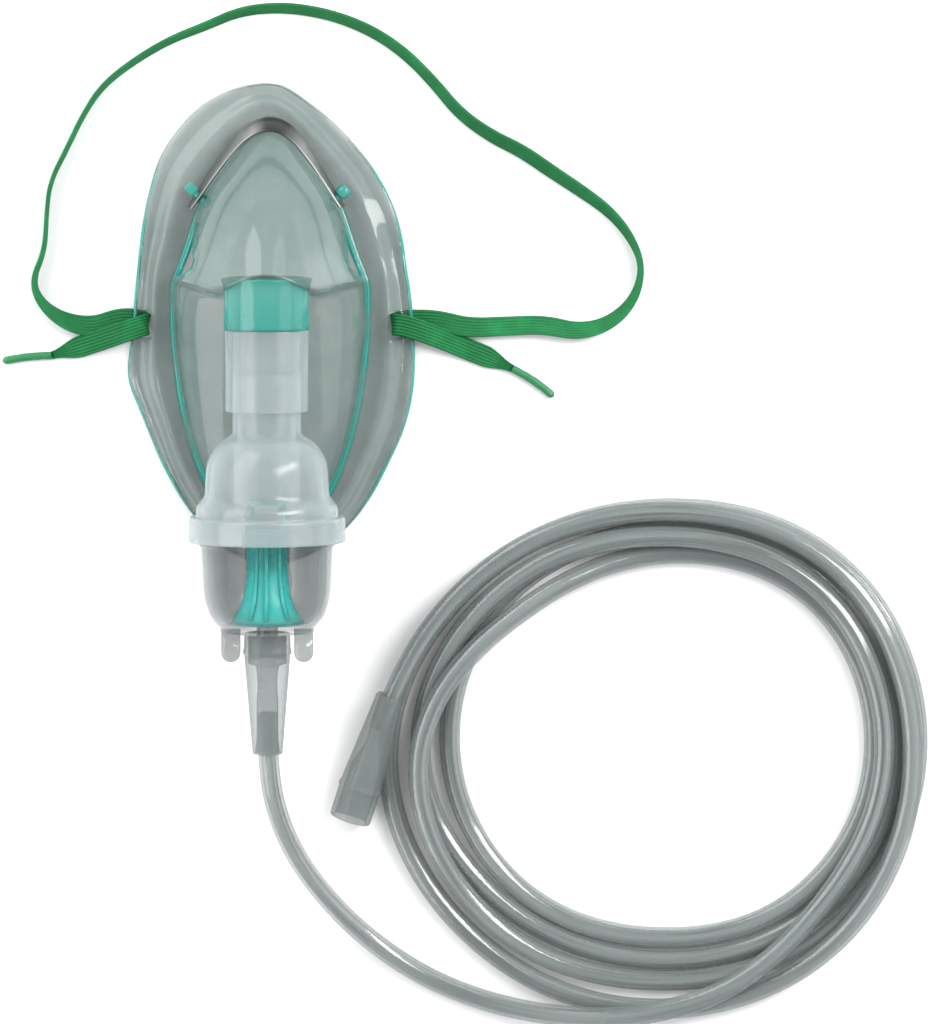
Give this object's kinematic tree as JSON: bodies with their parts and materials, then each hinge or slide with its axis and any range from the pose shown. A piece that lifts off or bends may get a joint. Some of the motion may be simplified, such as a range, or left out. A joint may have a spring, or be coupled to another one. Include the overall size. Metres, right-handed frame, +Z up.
{
  "type": "aerosol mask",
  "caption": "Clear soft face mask with a jet nebulizer on its port, a nose clip, a green elastic head strap and a coil of supply tubing.",
  "frame": {"origin": "bottom centre of the mask and nebulizer as they lie face side down, without the strap and tubing", "axes": "+Y towards the nose end of the mask, +X to the side the tubing lies on, +Z up, away from the face"},
  "size_m": [0.2686, 0.2964, 0.0566],
  "materials": {
    "mask_pvc": "clear soft vinyl with a pale green tint, deeper at the edges",
    "clip_metal": "rolled, satin",
    "strap_elastic": "ribbed knitted elastic",
    "strap_tip": "pinched and sealed end",
    "milky_plastic": "translucent milky moulding",
    "clear_plastic": "clear moulding",
    "teal_plastic": "translucent green moulding",
    "clear_vinyl": "clear soft vinyl",
    "tubing_vinyl": "clear soft vinyl tube"
  },
  "bodies": {
    "mask": {"mask_shell": "mask_pvc", "nose_clip": "clip_metal", "elastic_strap": "strap_elastic", "strap_tip_left": "strap_tip", "strap_tip_right": "strap_tip", "tubing_run": "tubing_vinyl", "tubing_coil": "tubing_vinyl", "supply_connector": "clear_vinyl"},
    "adaptor": {"port_adaptor": "milky_plastic"},
    "cap": {"nebulizer_cap": "milky_plastic"},
    "feed": {"inlet_connector": "clear_vinyl"},
    "jar": {"medication_jar": "clear_plastic"},
    "jet": {"jet_insert": "teal_plastic"}
  },
  "joints": [
    {"name": "adaptor_swivel", "type": "hinge", "parent": "mask", "child": "adaptor", "pos_m": [0, 0.0243, 0.038], "axis": [0, -0.9969, -0.0785], "continuous": true},
    {"name": "cap_swivel", "type": "hinge", "parent": "adaptor", "child": "cap", "pos_m": [0, 0.0243, 0.038], "axis": [0, -0.9969, -0.0785], "continuous": true},
    {"name": "jar_advance", "type": "slide", "parent": "cap", "child": "feed", "axis": [0, -0.9969, -0.0785], "range_m": [0, 0.004]},
    {"name": "jar_unscrew", "type": "hinge", "parent": "feed", "child": "jar", "pos_m": [0, 0.0243, 0.038], "axis": [0, -0.9969, -0.0785], "range_deg": [0, 360]},
    {"name": "jet_insert_lift", "type": "slide", "parent": "jar", "child": "jet", "axis": [0, 0.9969, 0.0785], "range_m": [0, 0.0015]}
  ],
  "couplings": [
    {"joint": "jar_advance", "follows": "jar_unscrew", "m_per_rad": 0.00063662}
  ]
}
